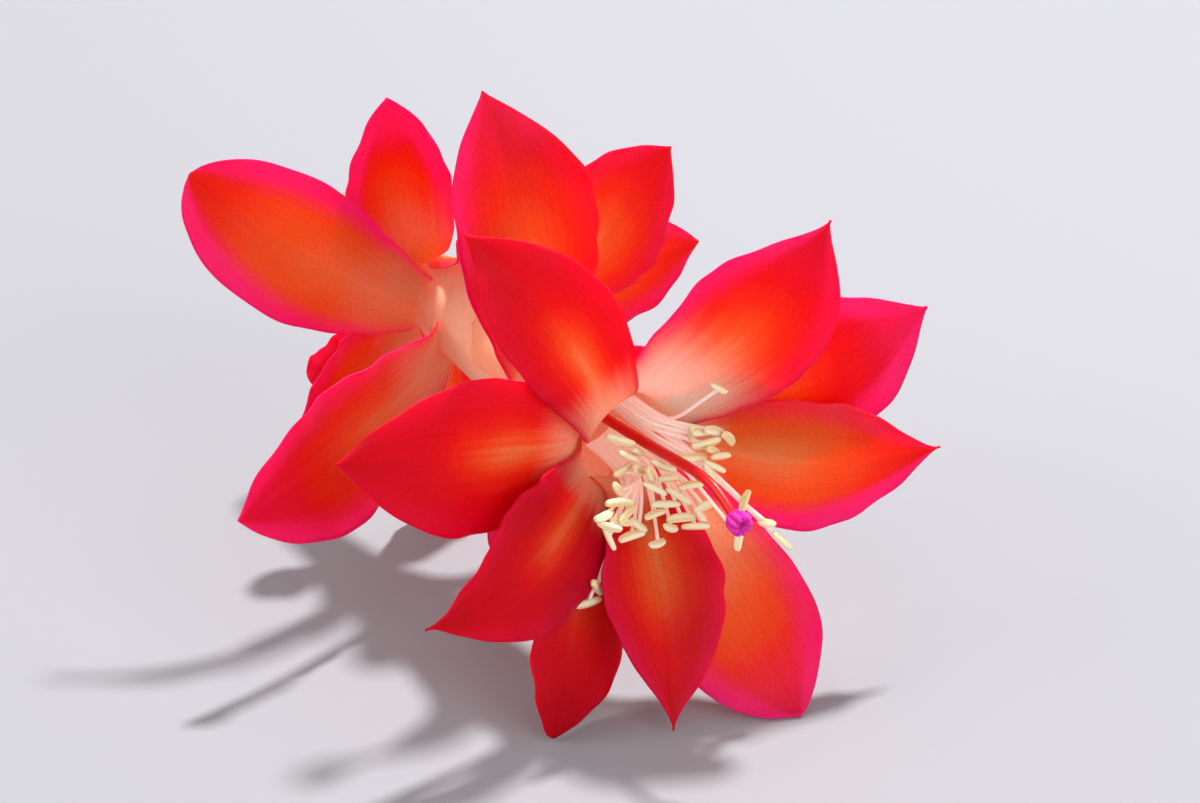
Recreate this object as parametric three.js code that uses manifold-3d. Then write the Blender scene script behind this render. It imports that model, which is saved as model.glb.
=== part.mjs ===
import * as THREE from "three";
import { mergeVertices } from "three/addons/utils/BufferGeometryUtils.js";
import Module from "manifold-3d";

// A picked Christmas cactus flower lying on a table. Millimetres, +Z up.
// It rests on four petal tips. Its tube runs from the ovary, at the back left,
// to the mouth, which faces -Y and turns towards +X.

// Driving dimensions of the whole flower
const HEADING = 34;
const DIP = 3;
const MOUTH = new THREE.Vector3(6.46, -13.11, 24);
const THICKNESS = 0.6;
const WALL = 0.8;
const THROAT_DEPTH = 18;
const RIM = -3;
const TUBE_END = -45.7;

// The tube's outer radius at stations along the axis, which count from the mouth
const TUBE_STATIONS = [-50, -42, -37, -30, -22, -10, 0];
const TUBE_RADII = [2.6, 2.5, 3, 4, 4.5, 4.7, 4.9];

// Ovary behind the tube
const OVARY_PROFILE = [
  [0, -52.7],
  [1.1, -52.7],
  [1.5, -53.1],
  [2.1, -52.6],
  [2.8, -51.2],
  [3.1, -49],
  [2.9, -47.2],
  [2.3, -46],
  [0, -46],
];

// Petals. Stations and lengths are in mm and angles in degrees. The azimuth runs
// clockwise from the top as the open mouth is seen. Each petal has a claw that lies
// along the tube and a blade that opens away from it.
const COMMON = { middle: 0.45, sharp: 1.1, lift: 0.7, side: 0, turn: 0, lying: 8, fold: 6 };
// The front tier folds open at the rim, from necks that widen into the blades
const INNER = { claw: 1.3, lift: 0.7, lying: 0, fold: 4, neck: 5 };
const OUTER = { claw: 4.7, lift: 0.9, fold: 5, neck: 8 };
const PETALS = {
  front_upper_left: {
    ...INNER, at: -2.5, azimuth: 325, blade: 25.5, width: 11, root: 6.5, middle: 0.5, sharp: 1.5,
    open: 83, recurve: 49, side: 12, sweep: -19, turn: 1, twist: 5, cup: 15,
  },
  front_left: {
    ...OUTER, at: -7, azimuth: 287, blade: 27, width: 15, root: 7, sharp: 1.2,
    open: 83, recurve: 18, side: -2, sweep: -5, turn: -5, twist: -2, cup: 11,
  },
  front_lower_left: {
    ...INNER, lift: 0.9, neck: 8, at: -2.5, azimuth: 245, blade: 23.5, width: 14, root: 7.5, middle: 0.4, sharp: 1.7,
    open: 61, recurve: 38, side: -5, sweep: 26, turn: -11, twist: 13, cup: 9,
  },
  front_low_left: {
    ...OUTER, at: -7, azimuth: 208, blade: 23.5, width: 12.5, root: 6, sharp: 0.7,
    open: 70, recurve: -1, side: -1, sweep: 3, turn: 2, twist: 3, cup: 12,
  },
  front_low: {
    ...INNER, neck: 7, at: -2, azimuth: 178, blade: 22, width: 12.5, root: 6.5, middle: 0.4, sharp: 1.7,
    open: 51, recurve: 9, side: 3, sweep: 16, turn: 2, twist: -8, cup: 18,
  },
  front_low_right: {
    ...OUTER, at: -7, azimuth: 153, blade: 27, width: 14.5, root: 5.5, middle: 0.55, sharp: 0.9,
    open: 48, recurve: -1, side: 6, sweep: 3, turn: 3, twist: -4, cup: 12,
  },
  front_right: {
    ...INNER, at: -2, azimuth: 97, blade: 25.5, width: 13.5, root: 5.5, sharp: 1.6,
    open: 48, recurve: 38, side: 6, sweep: -15, turn: 1, twist: -2, cup: 16,
  },
  front_upper_right: {
    ...INNER, at: -3, azimuth: 35, blade: 25, width: 13.5, root: 8.5, middle: 0.5, sharp: 1.5,
    open: 52, recurve: 43, side: -3, sweep: 2, turn: 22, twist: 9, cup: 7,
  },
  front_far_right: {
    ...OUTER, lift: 1.2, at: -7, azimuth: 65, blade: 25.7, width: 15.5, root: 6, sharp: 1.2,
    open: 54, recurve: 35, side: 6, sweep: -6, turn: 13, twist: 4, cup: 16,
  },
  middle_top: {
    at: -22.5, azimuth: 326, claw: 10.5, blade: 27.5, width: 15, root: 7, middle: 0.5, sharp: 1.2,
    open: 82, recurve: 51, side: 26, sweep: 0, turn: -1, twist: -7, cup: 22,
  },
  middle_upper_right: {
    at: -25, azimuth: 37, claw: 3.5, blade: 19.5, width: 13.5, root: 4.5,
    open: 92, recurve: 9, side: 8, sweep: 13, turn: 1, twist: 9, cup: 11,
  },
  middle_right: {
    at: -26, azimuth: 116, claw: 5.5, blade: 20.5, width: 10.5, root: 4.5,
    open: 69, recurve: 16, side: 5, sweep: 5, twist: 0, cup: 14,
  },
  middle_under: {
    at: -25, azimuth: 181, claw: 5.5, blade: 20, width: 11, root: 4.5,
    open: 80, recurve: 25, side: -3, sweep: -2, twist: 0, cup: 14,
  },
  middle_left: {
    at: -28.5, azimuth: 257, claw: 2, blade: 28.5, width: 15.5, root: 6, middle: 0.55, sharp: 1,
    open: 69, recurve: 16, side: -7, sweep: 12, turn: -1, twist: -1, cup: 13,
  },
  back_top: {
    at: -39, azimuth: 318, claw: 7, blade: 20.5, width: 11, root: 3.5, sharp: 0.9,
    open: 100, recurve: -19, side: 24, sweep: 16, turn: 4, twist: 1, cup: 25, lift: 1.7,
  },
  back_upper_right: {
    at: -35.5, azimuth: 17, claw: 6, blade: 17, width: 9.5, root: 4.5,
    open: 65, recurve: 8, side: -10, sweep: -13, twist: -1, cup: 15, lift: 1.5,
  },
  back_right: {
    at: -34, azimuth: 80, claw: 4, blade: 21, width: 12.5, root: 4.5, sharp: 1,
    open: 72, recurve: 20, side: 4, sweep: 1, twist: 0, cup: 14,
  },
  back_under: {
    at: -37, azimuth: 179, claw: 3.5, blade: 23, width: 11, root: 4.5,
    open: 93, recurve: 22, side: -2, sweep: -1, twist: 0, cup: 14,
  },
  back_lower_left: {
    at: -38.5, azimuth: 236, claw: 3, blade: 10.5, width: 9.5, root: 4.5, middle: 0.5, sharp: 0.55,
    open: 106, recurve: 14, side: -4, sweep: -4, twist: 0, cup: 16, lift: 1.5,
  },
  back_left: {
    at: -34, azimuth: 247, claw: 2, blade: 16, width: 11, root: 4.5, sharp: 1.2,
    open: 73, recurve: 10, side: 3, sweep: 11, turn: -2, twist: -7, cup: 10, lift: 1.5,
  },
  back_upper_left: {
    at: -38, azimuth: 295, claw: 7.5, blade: 28.5, width: 13.5, root: 5, middle: 0.6, sharp: 0.7,
    open: 89, recurve: 52, side: 6, sweep: 11, turn: -3, twist: -5, cup: 20,
  },
};
// Petals whose tips are pressed flat on the table
const RESTING = ["front_low_left", "front_low_right", "middle_under", "back_under"];

// Style and stigma, as points right of, above and in front of the mouth's middle
const STYLE_RADIUS = 0.5;
const STYLE_POINTS = [
  [0, -0.4, -17.4],
  [0, 0.2, -9],
  [0, 0.9, -2],
  [0, 1.6, 4],
  [0, 2.4, 9],
  [0, 2.4, 12.5],
  [0, 1.4, 14],
];
const STIGMA_CENTRE = [0, 0.6, 15.9];
const STIGMA_RADIUS = 1.2;
const STIGMA_LOBES = 7;

// Stamens root in a ring inside the throat. Each anther is given by its middle, right
// of, above and in front of the mouth's middle, and by its slope in degrees.
const RING_STATION = -9;
const RING_RADIUS = 3.2;
const RING_SECTION = 0.4;
const FILAMENT_RADIUS = 0.22;
const ANTHER_LENGTH = 2.7;
const ANTHER_RADIUS = 0.4;
// The lower bundle rises along the throat's lower wall, between these turns from the top
const LOWER_TURNS = [122, 180];
const LOWER_RADIUS = 3.25;
const LOWER_ANTHERS = [
  [2.8, -3.4, 7, -12],
  [2.6, -4.5, 7, -50],
  [2, -5.3, 7, -5],
  [1.9, -1.4, 6, -5],
  [0.7, -4.2, 6.5, -8],
  [0.6, -2.1, 6, -40],
  [0.2, -0.7, 5, -20],
  [-0.4, -5, 6.5, -35],
  [-0.5, -2.9, 5.5, -12],
  [-1.5, 0.9, 2, -35],
  [-1.3, -1.3, 5, -35],
  [-1.6, -3.6, 5.5, -5],
  [-1.8, -6.2, 6.5, -20],
  [-2.6, 1.2, 2.5, -35],
  [-2.9, 2.4, 1.5, -25],
  [-3.2, -0.1, 2.5, -3],
  [-3.3, -4.3, 5.5, -45],
  [-4.1, -1.5, 3.5, -50],
  [-4.1, -5.1, 5.5, -3],
  [-4.6, -2.6, 5.5, 10],
  [-5.1, -1.5, 5, -8],
  [-5.2, -3.3, 5.5, -20],
  [-7.7, -9.4, 5.7, -55],
  [-6.9, -3, 6, -28],
  [-6.9, -4.1, 6, -75],
  [-7.1, -2.1, 5.5, -10],
  [-8.7, -10.8, 5.8, -3],
];
// The upper bundle's threads run side by side, each past its gate at the mouth
const UPPER_ANTHERS = [
  { anther: [2.9, 2.9, 4.5, -70], gate: [0.4, 2.9] },
  { anther: [3.7, 3, 5, -20], gate: [1.1, 3.1] },
  { anther: [4.7, 3.2, 5.5, -30], gate: [1.8, 2.9] },
  { anther: [6, 2.3, 6, -50], gate: [2.5, 2.5] },
  { anther: [4.3, 1.5, 6, -40], gate: [1.4, 2.4] },
  { anther: [2.8, 0.7, 5, -10], gate: [1, 1.7] },
  { anther: [4.1, 0.2, 6.5, -35], gate: [1.7, 1.7] },
  { anther: [3.6, -0.4, 6.5, -60], gate: [1.4, 1] },
  { anther: [5, 7.5, 5.5, -38], gate: [2.9, 1.7] },
  { anther: [5.8, -2.8, 9, 80], gate: [2.7, 1.7] },
  { anther: [4.7, -5.6, 10, 60], gate: [1.9, 0.9] },
  { anther: [7.1, -4.5, 11, -30], gate: [2.3, 1.3] },
  { anther: [8.5, -6.6, 11.5, -48], gate: [2.9, 1.1] },
];

const wasm = await Module();
wasm.setup();
const radians = THREE.MathUtils.degToRad;

// The mouth's frame: the axis points out of the throat, right and top are as seen from it
const AXIS = new THREE.Vector3(
  Math.sin(radians(HEADING)) * Math.cos(radians(DIP)),
  -Math.cos(radians(HEADING)) * Math.cos(radians(DIP)),
  -Math.sin(radians(DIP)),
);
const UP = new THREE.Vector3(0, 0, 1);
const TOP = UP.clone().addScaledVector(AXIS, -UP.dot(AXIS)).normalize();
const RIGHT = new THREE.Vector3().crossVectors(TOP, AXIS);

function place(right, top, forward) {
  return MOUTH.clone()
    .addScaledVector(RIGHT, right)
    .addScaledVector(TOP, top)
    .addScaledVector(AXIS, forward);
}

function mix(a, b, first, second) {
  return first.clone().multiplyScalar(a).addScaledVector(second, b);
}

function smooth(x) {
  return THREE.MathUtils.smoothstep(x, 0, 1);
}

function tubeRadius(station) {
  const last = TUBE_STATIONS.length - 1;
  const s = THREE.MathUtils.clamp(station, TUBE_STATIONS[0], TUBE_STATIONS[last]);
  const i = Math.min(TUBE_STATIONS.findLastIndex((v) => v <= s), last - 1);
  const share = (s - TUBE_STATIONS[i]) / (TUBE_STATIONS[i + 1] - TUBE_STATIONS[i]);
  return THREE.MathUtils.lerp(TUBE_RADII[i], TUBE_RADII[i + 1], share);
}

// Half the blade's width at a share u of its length
function bladeHalfWidth(spec, u) {
  if (u < spec.middle) {
    const rise = Math.sin((Math.PI / 2) * (u / spec.middle)) ** 1.3;
    return (spec.root + (spec.width - spec.root) * rise) / 2;
  }
  const v = (u - spec.middle) / (1 - spec.middle);
  return (spec.width * (1 - Math.min(v, 1) ** 2.4) ** spec.sharp) / 2;
}

// Rows of points across the petal, from the root of its claw to its tip
function petalRows(spec, rows, columns) {
  const azimuth = radians(spec.azimuth);
  const outward = mix(Math.cos(azimuth), Math.sin(azimuth), TOP, RIGHT);
  const around = mix(-Math.sin(azimuth), Math.cos(azimuth), TOP, RIGHT);
  const total = spec.claw + spec.blade;
  const rootRadius = tubeRadius(spec.at) + spec.lift;
  const middle = place(0, 0, spec.at).addScaledVector(outward, rootRadius);
  const fine = 8;
  const steps = (rows - 1) * fine;
  const result = [];
  let before = null;
  for (let i = 0; i <= steps; i += 1) {
    const s = (total * i) / steps;
    const u = THREE.MathUtils.clamp((s - spec.claw) / spec.blade, 0, 1);
    const leave = smooth((s - spec.claw) / spec.fold + 1 / 3);
    const open = spec.lying + (spec.open - spec.lying) * leave;
    const rise = radians(open + spec.recurve * u ** 1.5);
    const side = radians(spec.side * leave + spec.sweep * u);
    const turn = radians(spec.turn * leave + spec.twist * u);
    const forward = mix(Math.cos(rise), Math.sin(rise), AXIS, outward);
    const along = mix(Math.cos(side), Math.sin(side), forward, around);
    const flat = mix(Math.cos(side), -Math.sin(side), around, forward);
    const inward = mix(Math.sin(rise), -Math.cos(rise), AXIS, outward);
    const across = mix(Math.cos(turn), Math.sin(turn), flat, inward);
    const face = mix(-Math.sin(turn), Math.cos(turn), flat, inward);
    if (before) {
      middle.addScaledVector(before.add(along), total / steps / 2);
    }
    before = along.clone();
    if (i % fine === 0) {
      const neck = spec.neck ?? Math.min(3, spec.claw);
      const taper = 0.3 + 0.7 * smooth(s / neck);
      const full = s < spec.claw ? spec.root / 2 : bladeHalfWidth(spec, u);
      const half = Math.max(full * taper, THICKNESS / 2);
      const hollow = radians(spec.cup) * Math.sqrt(half / (spec.width / 2));
      const bend = (1 - leave) * (half / rootRadius) + leave * hollow;
      const row = [];
      for (let j = 0; j < columns; j += 1) {
        const q = (2 * j) / (columns - 1) - 1;
        const x = (half / bend) * Math.sin(bend * q);
        const z = (half / bend) * (1 - Math.cos(bend * q));
        row.push(middle.clone().addScaledVector(across, x).addScaledVector(face, z));
      }
      result.push({ points: row, across, along });
    }
  }
  return result;
}

// A closed sheet of even thickness round the rows
function petalGeometry(spec) {
  const columns = 5;
  const rows = petalRows(spec, 18, columns);
  const top = [];
  const bottom = [];
  rows.forEach((row, i) => {
    const next = rows[Math.min(i + 1, rows.length - 1)].points;
    const last = rows[Math.max(i - 1, 0)].points;
    row.points.forEach((point, j) => {
      const right = row.points[Math.min(j + 1, columns - 1)];
      const left = row.points[Math.max(j - 1, 0)];
      const normal = new THREE.Vector3()
        .crossVectors(right.clone().sub(left), next[j].clone().sub(last[j]))
        .normalize();
      top.push(point.clone().addScaledVector(normal, THICKNESS / 2));
      bottom.push(point.clone().addScaledVector(normal, -THICKNESS / 2));
    });
  });
  const count = top.length;
  const index = [];
  const quad = (a, b, c, d) => index.push(a, b, c, a, c, d);
  for (let i = 0; i < rows.length - 1; i += 1) {
    for (let j = 0; j < columns - 1; j += 1) {
      const a = i * columns + j;
      const b = a + columns;
      quad(a, a + 1, b + 1, b);
      index.push(count + a, count + b, count + b + 1);
      index.push(count + a, count + b + 1, count + a + 1);
    }
  }
  const rim = [];
  const end = rows.length - 1;
  for (let j = 0; j < columns; j += 1) rim.push(j);
  for (let i = 1; i <= end; i += 1) rim.push(i * columns + columns - 1);
  for (let j = columns - 2; j >= 0; j -= 1) rim.push(end * columns + j);
  for (let i = end - 1; i > 0; i -= 1) rim.push(i * columns);
  rim.forEach((a, i) => {
    const b = rim[(i + 1) % rim.length];
    quad(a, count + a, count + b, b);
  });
  return indexed([...top, ...bottom], index);
}

function indexed(points, index) {
  const geometry = new THREE.BufferGeometry().setFromPoints(points);
  geometry.setIndex(index);
  geometry.computeVertexNormals();
  return geometry;
}

// A closed limb through the points, with a radius at each of them
function limbGeometry(points, radii, sides, steps) {
  const curve = new THREE.CatmullRomCurve3(points, false, "centripetal");
  const frames = curve.computeFrenetFrames(steps, false);
  const ring = [];
  for (let i = 0; i <= steps; i += 1) {
    const u = i / steps;
    const place = u * (radii.length - 1);
    const k = Math.min(Math.floor(place), radii.length - 2);
    const radius = THREE.MathUtils.lerp(radii[k], radii[k + 1], place - k);
    const centre = curve.getPointAt(u);
    for (let j = 0; j < sides; j += 1) {
      const turn = (2 * Math.PI * j) / sides;
      const spoke = mix(Math.cos(turn), Math.sin(turn), frames.normals[i], frames.binormals[i]);
      ring.push(centre.clone().addScaledVector(spoke, radius));
    }
  }
  const index = [];
  for (let i = 0; i < steps; i += 1) {
    for (let j = 0; j < sides; j += 1) {
      const a = i * sides + j;
      const b = i * sides + ((j + 1) % sides);
      index.push(a, b, b + sides, a, b + sides, a + sides);
    }
  }
  const start = ring.length;
  ring.push(curve.getPointAt(0), curve.getPointAt(1));
  for (let j = 0; j < sides; j += 1) {
    const next = (j + 1) % sides;
    index.push(start, next, j);
    index.push(start + 1, steps * sides + j, steps * sides + next);
  }
  return indexed(ring, index);
}

// A turned body round the flower's axis, from a profile of radii and stations
function turnedGeometry(profile, segments) {
  const points = profile.map(([radius, station]) => new THREE.Vector2(radius, station));
  const geometry = new THREE.LatheGeometry(points, segments);
  const basis = new THREE.Matrix4().makeBasis(RIGHT.clone().negate(), AXIS, TOP);
  basis.setPosition(MOUTH);
  return geometry.applyMatrix4(basis);
}

function toSolid(geometry) {
  const bare = new THREE.BufferGeometry();
  bare.setAttribute("position", geometry.attributes.position);
  bare.setIndex(geometry.index);
  const welded = mergeVertices(bare, 1e-4);
  const corners = [];
  for (let i = 0; i < welded.index.count; i += 3) {
    const [a, b, c] = [0, 1, 2].map((k) => welded.index.getX(i + k));
    if (a !== b && b !== c && c !== a) corners.push(a, b, c);
  }
  const mesh = new wasm.Mesh({
    numProp: 3,
    vertProperties: new Float32Array(welded.attributes.position.array),
    triVerts: new Uint32Array(corners),
  });
  const solid = new wasm.Manifold(mesh);
  return solid;
}

function fromSolid(solid) {
  const mesh = solid.getMesh();
  const geometry = new THREE.BufferGeometry();
  const positions = new Float32Array(mesh.vertProperties);
  geometry.setAttribute("position", new THREE.BufferAttribute(positions, 3));
  geometry.setIndex(new THREE.BufferAttribute(new Uint32Array(mesh.triVerts), 1));
  geometry.computeVertexNormals();
  return geometry;
}

// Trims off whatever reaches below the table
function pressFlat(geometry) {
  const table = new THREE.BoxGeometry(200, 200, 10).translate(0, 0, -5);
  return fromSolid(toSolid(geometry).subtract(toSolid(table)));
}

// The tube: a floor deep in the throat, a thin wall and a rounded rim
function tubeGeometry() {
  const outside = [-42, -37, -33, -30, -26, -22, -16, -10, -6].map((t) => [tubeRadius(t), t]);
  const rim = tubeRadius(RIM);
  const inside = [RIM - 0.4, -6, -9, -12, 1 - THROAT_DEPTH].map((t) => [tubeRadius(t) - WALL, t]);
  const profile = [
    [0, TUBE_END],
    [2.2, TUBE_END],
    ...outside,
    [rim, RIM - 0.4],
    [rim - WALL / 2, RIM],
    ...inside,
    [2.6, -THROAT_DEPTH],
    [0, -THROAT_DEPTH],
  ];
  return turnedGeometry(profile, 28);
}

function styleGeometry() {
  const points = STYLE_POINTS.map((p) => place(...p));
  return limbGeometry(points, [0.45, 0.5, 0.5, STYLE_RADIUS], 8, 14);
}

function stigmaGeometry() {
  const facets = new THREE.IcosahedronGeometry(STIGMA_RADIUS, 4);
  const ball = mergeVertices(facets.deleteAttribute("normal").deleteAttribute("uv"));
  const position = ball.attributes.position;
  const point = new THREE.Vector3();
  for (let i = 0; i < position.count; i += 1) {
    point.fromBufferAttribute(position, i);
    const turn = Math.atan2(point.y, point.x);
    const flank = Math.hypot(point.x, point.y) / STIGMA_RADIUS;
    point.multiplyScalar(1 + 0.07 * flank * Math.cos(STIGMA_LOBES * turn));
    position.setXYZ(i, point.x, point.y, point.z);
  }
  const basis = new THREE.Matrix4().makeBasis(RIGHT, TOP, AXIS);
  basis.setPosition(place(...STIGMA_CENTRE));
  ball.applyMatrix4(basis);
  ball.computeVertexNormals();
  return ball;
}

// A thread of the lower bundle, at a share of the way round it
function lowerThread([right, top, forward], share) {
  const turn = radians(THREE.MathUtils.lerp(...LOWER_TURNS, share));
  const at = (radius, station, shift) =>
    place(
      Math.sin(turn) * radius * (1 - shift) + right * shift,
      Math.cos(turn) * radius * (1 - shift) + top * shift,
      station,
    );
  return [
    at(RING_RADIUS, RING_STATION, 0),
    at(LOWER_RADIUS, -4, 0),
    at(LOWER_RADIUS, -1, 0.01),
    at(LOWER_RADIUS, Math.min(1.6, forward * 0.5), 0.14),
    at(LOWER_RADIUS, forward * 0.75, 0.6),
    place(right, top, forward),
  ];
}

// A thread of the upper bundle, past its gate
function upperThread([right, top, forward], [gateRight, gateTop]) {
  const turn = Math.atan2(gateRight, gateTop);
  const between = (share, station) =>
    place(gateRight + (right - gateRight) * share, gateTop + (top - gateTop) * share, station);
  return [
    place(Math.sin(turn) * RING_RADIUS, Math.cos(turn) * RING_RADIUS, RING_STATION),
    between(0, -3),
    between(0, 0.5),
    between(0.4, forward * 0.45),
    between(0.7, forward * 0.7),
    between(1, forward),
  ];
}

// A thread along its points, and the anther across its end
function stamenSolids(points, slope) {
  const filament = limbGeometry(points, [FILAMENT_RADIUS, FILAMENT_RADIUS], 4, 5);
  const tip = points[points.length - 1];
  const lie = radians(slope);
  const half = mix(Math.cos(lie), Math.sin(lie), RIGHT, TOP).multiplyScalar(ANTHER_LENGTH / 2);
  const ends = [tip.clone().sub(half), tip.clone(), tip.clone().add(half)];
  const swell = [0.45, 1, 0.85, 1, 0.45].map((share) => share * ANTHER_RADIUS);
  const anther = limbGeometry(ends, swell, 5, 4);
  return [toSolid(filament), toSolid(anther)];
}

// The ring, with the stamens that root in it
function stamensGeometry() {
  const basis = new THREE.Matrix4().makeBasis(RIGHT, TOP, AXIS);
  basis.setPosition(place(0, 0, RING_STATION));
  const ring = new THREE.TorusGeometry(RING_RADIUS, RING_SECTION, 6, 20).applyMatrix4(basis);
  const lower = LOWER_ANTHERS.flatMap((anther, i) => {
    const share = i / (LOWER_ANTHERS.length - 1);
    return stamenSolids(lowerThread(anther, share), anther[3]);
  });
  const upper = UPPER_ANTHERS.flatMap(({ anther, gate }) =>
    stamenSolids(upperThread(anther, gate), anther[3]),
  );
  return fromSolid(wasm.Manifold.union([toSolid(ring), ...lower, ...upper]));
}

const COLOURS = {
  petal: 0xe0242f,
  tube: 0xe8a58c,
  ovary: 0x8a9a4a,
  style: 0xb8121c,
  stigma: 0xe0218a,
  stamens: 0xf0dfb4,
};

const group = new THREE.Group();

function add(name, geometry, slot) {
  const material = new THREE.MeshStandardMaterial({ color: COLOURS[slot], roughness: 0.5 });
  material.name = slot;
  const mesh = new THREE.Mesh(geometry, material);
  mesh.name = name;
  group.add(mesh);
}

for (const [name, own] of Object.entries(PETALS)) {
  const geometry = petalGeometry({ ...COMMON, ...own });
  add(name, RESTING.includes(name) ? pressFlat(geometry) : geometry, "petal");
}
add("floral_tube", tubeGeometry(), "tube");
add("ovary", turnedGeometry(OVARY_PROFILE, 20), "ovary");
add("style", styleGeometry(), "style");
add("stigma", stigmaGeometry(), "stigma");
add("stamens", stamensGeometry(), "stamens");

export default group;
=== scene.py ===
import logging
import math
from dataclasses import dataclass, field
from enum import Enum
from typing import Any, Sequence, Union

import bpy
import numpy as np
from mathutils import Matrix, Vector


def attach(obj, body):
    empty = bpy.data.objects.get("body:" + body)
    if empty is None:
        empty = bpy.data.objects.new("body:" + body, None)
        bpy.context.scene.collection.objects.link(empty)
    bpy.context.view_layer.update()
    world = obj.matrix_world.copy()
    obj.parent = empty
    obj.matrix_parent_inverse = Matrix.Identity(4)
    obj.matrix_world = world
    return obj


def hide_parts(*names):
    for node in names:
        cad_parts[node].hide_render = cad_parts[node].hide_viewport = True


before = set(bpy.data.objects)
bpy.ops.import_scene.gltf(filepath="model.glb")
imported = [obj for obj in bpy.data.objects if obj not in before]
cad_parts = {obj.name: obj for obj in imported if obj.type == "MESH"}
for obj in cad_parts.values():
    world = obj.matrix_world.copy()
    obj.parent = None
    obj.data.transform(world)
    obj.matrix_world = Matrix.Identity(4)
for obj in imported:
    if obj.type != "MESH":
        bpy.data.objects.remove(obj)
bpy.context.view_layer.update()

BODY = "root"
MM = 0.001

logging.basicConfig(level=logging.INFO, format="%(message)s")
log = logging.getLogger("flower")


def smooth(x: float) -> float:
    """Returns a smooth step that is 0 up to 0 and 1 from 1 on."""
    t = min(max(x, 0.0), 1.0)
    return t * t * (3 - 2 * t)


def linear(colour: Sequence[int]) -> tuple[float, float, float, float]:
    """Turns a screen colour into the renderer's linear colour.

    Args:
        colour: Red, green and blue, each from 0 to 255.

    Returns:
        Linear red, green, blue and a full alpha.
    """
    shares = [c / 255 for c in colour]
    low, power = 0.04045, 2.4
    parts = [s / 12.92 if s <= low else ((s + 0.055) / 1.055) ** power for s in shares]
    return parts[0], parts[1], parts[2], 1.0


# Shader nodes


class Value:
    """A shader socket that takes part in Python arithmetic by adding Math nodes."""

    def __init__(self, shader: "Shader", socket: bpy.types.NodeSocket) -> None:
        """Keeps the socket and the shader that it belongs to."""
        self.shader = shader
        self.socket = socket

    def __add__(self, other: "Number") -> "Value":
        """Adds."""
        return self.shader.maths("ADD", self, other)

    def __radd__(self, other: float) -> "Value":
        """Adds to a plain number."""
        return self.shader.maths("ADD", other, self)

    def __sub__(self, other: "Number") -> "Value":
        """Subtracts."""
        return self.shader.maths("SUBTRACT", self, other)

    def __rsub__(self, other: float) -> "Value":
        """Subtracts from a plain number."""
        return self.shader.maths("SUBTRACT", other, self)

    def __mul__(self, other: "Number") -> "Value":
        """Multiplies."""
        return self.shader.maths("MULTIPLY", self, other)

    def __rmul__(self, other: float) -> "Value":
        """Multiplies a plain number."""
        return self.shader.maths("MULTIPLY", other, self)

    def __truediv__(self, other: "Number") -> "Value":
        """Divides."""
        return self.shader.maths("DIVIDE", self, other)

    def __pow__(self, other: "Number") -> "Value":
        """Raises to a power."""
        return self.shader.maths("POWER", self, other)

    def __abs__(self) -> "Value":
        """Drops the sign."""
        return self.shader.maths("ABSOLUTE", self, 0.0)


Number = Union[Value, float]
Colour = Union[Value, Sequence[float]]
Stops = Sequence[tuple[float, Sequence[float]]]
BLACK = (0.0, 0.0, 0.0, 1.0)


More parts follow.
